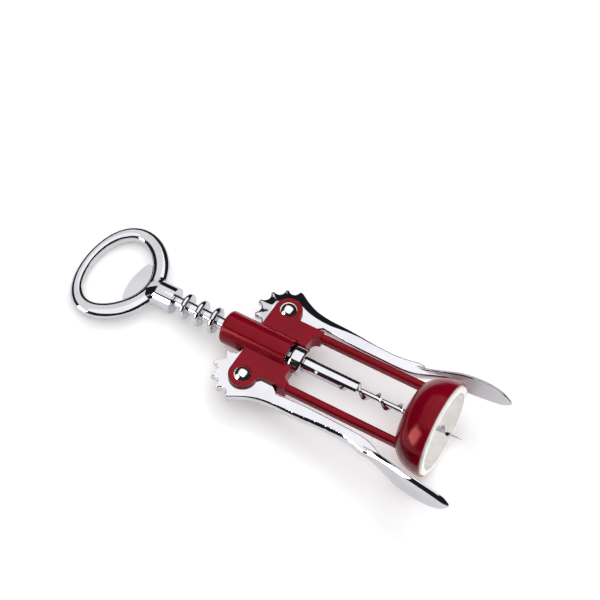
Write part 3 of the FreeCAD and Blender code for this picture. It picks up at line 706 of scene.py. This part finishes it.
one_section = leaf_section(np.array([SMALL_LEAF]), np.array([SECTION_SKIN]))
print("a section of the leaf has", one_section.shape[1], "corners")

# %% [markdown]
# ### The path of the leaf
# The path is the leaf's outer face seen from above. Beside each of its points stands
# the leaf's height there, as a share of the tallest. A running mean over seven
# stations takes the corners out of the heights, as a file would.

# %% Stations along the leaf
LEAF_SHARE = [0.20, 0.30, 0.44, 0.62, 0.80, 0.94, 1.0, 0.95, 0.83, 0.61, 0.32, 0.02]
LEAF_HALF = 5.7
LEAF_TIP_HALF = 0.25
STATIONS = 90
SMOOTH_OVER = 7


def leaf_stations():
    """Path of the leaf, its half height at each station, and the direction outwards,
    which is square to the path."""
    path = smooth_through(LEAF_PATH, STATIONS)
    tall = LEAF_HALF * np.interp(path[:, 0], [x for x, _ in LEAF_PATH], LEAF_SHARE)
    padded = np.pad(tall, SMOOTH_OVER // 2, mode="edge")
    tall = np.convolve(padded, np.ones(SMOOTH_OVER) / SMOOTH_OVER, "valid")
    tall[-1] = LEAF_TIP_HALF
    forward = np.gradient(path, axis=0)
    forward /= np.linalg.norm(forward, axis=1)[:, None]
    return path, tall, np.stack([-forward[:, 1], forward[:, 0]], axis=1)


print("leaf is", round(2 * leaf_stations()[1].max(), 1), "mm tall at its middle")

# %% [markdown]
# ### The skin of the leaf
# One station's corners are joined to the next station's by squares, all the way round
# and all the way along, and each end is closed by triangles to a middle point. The
# section bows inwards towards its top and bottom, so that the leaf hugs the thumb.

# %% The leaf as a closed skin
LEAF_BOW = 0.3
END_STATIONS = (4, 6)


def thumb_leaf():
    """Surface of station s and corner c: the path gives the outer face, the section is
    as tall as the leaf there, and its height squared bows it inwards. The skin thins
    by a square root over the stations at each end."""
    path, tall, outward = leaf_stations()
    count = np.arange(STATIONS)
    into = np.minimum(count / END_STATIONS[0], (STATIONS - 1 - count) / END_STATIONS[1])
    section = leaf_section(tall, SECTION_SKIN * np.sqrt(np.clip(into, 0.05, 1)))
    around = section.shape[1]
    rise = section[:, :, 1] / LEAF_HALF
    across = section[:, :, 0] - SECTION_SKIN / 2 - LEAF_BOW * rise ** 2
    xy = path[:, None] + outward[:, None] * across[:, :, None]
    middle = np.c_[path[[0, -1]] - outward[[0, -1]] * SECTION_SKIN / 2, [0, 0]]
    verts = np.concatenate([np.dstack([xy, section[:, :, 1]]).reshape(-1, 3), middle])
    s, a = np.meshgrid(np.arange(STATIONS - 1), np.arange(around), indexing="ij")
    one, two = s * around + a, s * around + (a + 1) % around
    skin = np.stack([one, two, two + around, one + around], -1).reshape(-1, 4)
    ring = np.arange(around)
    after = (ring + 1) % around
    base = (STATIONS - 1) * around
    first = np.c_[np.full(around, STATIONS * around), after, ring]
    last = np.c_[np.full(around, STATIONS * around + 1), base + ring, base + after]
    return verts, [skin, np.concatenate([first, last])]


leaf_verts, leaf_faces = thumb_leaf()
print("leaf corners:", len(leaf_verts))

# %% [markdown]
# ## From points to pieces
# A mesh is made at the origin with its place in its points, as the CAD parts are, so
# that patterns on Object coordinates line up. Both levers come from one shape, and the
# mirrored one would be inside out. The sign of the enclosed volume tells, and turning
# the order of each face's corners round mends it.


# %% Faces that point outwards
def signed_volume(verts, faces):
    """Volume inside a closed mesh, negative where its faces point inwards: each face
    is a fan of triangles from its first corner, and a triangle adds a sixth of its
    first corner times the cross product of the other two."""
    corners = [verts[block] for block in faces]
    return sum(np.sum(p[:, :1] * np.cross(p[:, 1:-1], p[:, 2:])) for p in corners) / 6


def mesh_piece(name, verts, faces, finish):
    """New object at the origin from points in metres, smooth, with faces outwards."""
    if signed_volume(verts, faces) < 0:
        faces = [block[:, ::-1] for block in faces]
    mesh = bpy.data.meshes.new(name)
    mesh.from_pydata(verts.tolist(), [], sum((block.tolist() for block in faces), []))
    mesh.validate()
    mesh.shade_smooth()
    mesh.materials.append(finish)
    piece = bpy.data.objects.new(name, mesh)
    bpy.context.scene.collection.objects.link(piece)
    return piece


print("volume of a leaf in mm3:", round(float(signed_volume(leaf_verts, leaf_faces)), 1))

# %% [markdown]
# ### Both levers in place
# The levers stand a little splayed, as they do when the screw is home. Each one is
# turned by that angle, mirrored to its side and moved to its pivot. Then it rides on
# its lever's body, so that it swings with the joint, and takes the CAD lever's place.

# %% Build both levers
SPLAY = math.radians(0.9)
LEVER_MIDDLE_Z = -0.5 * MM


def place_lever(verts, side):
    """Lever points in millimetres to metres on the model: mirrored to a side, turned
    by the splay about the pivot, and moved to the pivot."""
    x, y, z = verts[:, 0], verts[:, 1] * side, verts[:, 2]
    cos, sin = math.cos(-SPLAY), math.sin(-SPLAY)
    placed = np.stack([x * cos - y * sin, x * sin + y * cos, z], axis=1)
    return placed * MM + np.array([PIVOT.x, PIVOT.y * side, LEVER_MIDDLE_Z])


for label, side, slope in (("left_lever", 1, WIDE_SLOPE), ("right_lever", -1, STEEP_SLOPE)):
    web_verts, web_faces = crowned_plate(slope)
    for part, verts, faces in (("web", web_verts, web_faces), ("leaf", leaf_verts, leaf_faces)):
        piece = mesh_piece(label + "_" + part, place_lever(verts, side), faces, chrome)
        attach(piece, label)
        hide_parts(label)
        print(piece.name, len(piece.data.polygons), "faces")

# %% [markdown]
# ## The stage
# The corkscrew lies flat, and rests on two places: the bottom of the ring and the
# bottom of the bell's rim. The floor goes under both, so it is tilted a little,
# and the CAD parts stay where they are. It is a pale sheet that glows faintly, which
# keeps the shadows soft and the background white.

# %% Floor under the ring and the bell
RIM_BACK = 0.5 * MM
RING_FOOT_IN = 2.5 * MM
RING_FOOT_DOWN = 2.2 * MM
FLOOR_GAP = 0.2 * MM
FLOOR_RADIUS = 0.42
rim_foot = Vector((-RIM_BACK, 0, case_low.z))
ring_foot = Vector((ring_low.x + RING_FOOT_IN, 0, -RING_FOOT_DOWN))
along = (rim_foot - ring_foot).normalized()
floor_up = Vector((-along.z, 0, along.x))
middle = (rim_foot + ring_foot) / 2 - floor_up * FLOOR_GAP
bpy.ops.mesh.primitive_circle_add(vertices=128, radius=FLOOR_RADIUS, fill_type="NGON")
floor = bpy.context.object
floor.name = "floor"
tilt = floor_up.to_track_quat("Z", "Y").to_matrix().to_4x4()
floor.data.transform(Matrix.Translation(middle) @ tilt)
print("floor tilt in degrees:", round(math.degrees(math.atan2(floor_up.x, floor_up.z)), 2))

# %% White sheet on the floor
sheet, tree, shader, coords = new_finish("white_floor")
shader.inputs["Base Color"].default_value = (0.92, 0.92, 0.92, 1)
shader.inputs["Roughness"].default_value = 0.9
shader.inputs["Specular IOR Level"].default_value = 0.0
shader.inputs["Emission Color"].default_value = (1, 1, 1, 1)
shader.inputs["Emission Strength"].default_value = 0.28
floor.data.materials.append(sheet)
print("floor finish:", sheet.name)

# %% [markdown]
# ## Light
# A wide soft light hangs overhead and the room around is dark, which is how polished
# metal gets its hard black and white bands. A brighter strip over the bell lifts the
# paint there. The window at the side only makes reflections, and the key and the fill
# only light the matt surfaces, so each can be set without spoiling the other.


# %% A soft box
def softbox(name, place, aim, wide, tall, power, colour=(1, 1, 1)):
    """Rectangular area light, wide by tall in metres, turned from its place to aim."""
    data = bpy.data.lights.new(name, "AREA")
    data.shape = "RECTANGLE"
    data.size, data.size_y = wide, tall
    data.energy = power
    data.color = colour
    lamp = bpy.data.objects.new(name, data)
    lamp.location = place
    lamp.rotation_euler = (Vector(aim) - Vector(place)).to_track_quat("-Z", "Y").to_euler()
    bpy.context.scene.collection.objects.link(lamp)
    return lamp


# %% Lights round the corkscrew
MODEL_MIDDLE = Vector((-0.07, 0, 0))
BELL_MIDDLE = Vector((-0.007, 0, 0))
WINDOW_WAY = Vector((-0.62, -0.74, 0.26))
WINDOW_AWAY = 0.9
WARM = (1, 0.93, 0.84)
softbox("ceiling", (-0.16, 0.10, 1.0), (-0.16, 0.10, 0), 1.7, 1.7, 10.2)
softbox("ceiling_bright_part", (0.10, 0.10, 0.98), (0.10, 0.10, 0), 1.2, 1.7, 2.4)
key = softbox("back_key", (-0.02, 0.65, 0.95), MODEL_MIDDLE, 0.4, 0.4, 1.4)
key.visible_glossy = False
window_place = BELL_MIDDLE + WINDOW_WAY * WINDOW_AWAY
window = softbox("side_window", window_place, BELL_MIDDLE, 0.42, 0.65, 8.5, WARM)
window.visible_diffuse = False
fill = softbox("fill", (0.75, -0.1, 0.12), MODEL_MIDDLE, 0.5, 0.5, 3.6)
fill.visible_glossy = False
print("lights:", ", ".join(sorted(light.name for light in bpy.data.lights)))

# %% [markdown]
# ### The dark room
# What a lamp doesn't light, chrome still mirrors. A world that is almost black, with a
# hint of blue, gives the dark bands their depth. The Standard view transform shows the
# colours as they were mixed, where a film-like one would grey the white floor.

# %% Room and view
room = bpy.data.worlds.new("dark_room")
bpy.context.scene.world = room
room.use_nodes = True
background = room.node_tree.nodes["Background"]
background.inputs["Color"].default_value = (0.9, 0.9, 1, 1)
background.inputs["Strength"].default_value = 0.02
bpy.context.scene.view_settings.view_transform = "Standard"
print("room:", room.name)

# %% [markdown]
# ## Camera
# The corkscrew is seen from above, over its right lever, with the bell towards the
# viewer. A long lens from more than half a metre away keeps the handle and the bell in
# their true proportions, as a short lens close by would not.

# %% Camera
LENS = 103.99
CAMERA_PLACE = (0.1171, -0.2989, 0.5125)
CAMERA_WAY = (-0.29775, 0.50818, -0.80815)
camera_data = bpy.data.cameras.new("camera")
camera_data.lens = LENS
camera_data.sensor_width = 36
camera_data.clip_start = 0.01
camera = bpy.data.objects.new("camera", camera_data)
camera.location = CAMERA_PLACE
camera.rotation_euler = Vector(CAMERA_WAY).to_track_quat("-Z", "Y").to_euler()
bpy.context.scene.collection.objects.link(camera)
bpy.context.scene.camera = camera
print("camera", round(Vector(CAMERA_PLACE).length, 3), "m from the bell's mouth")
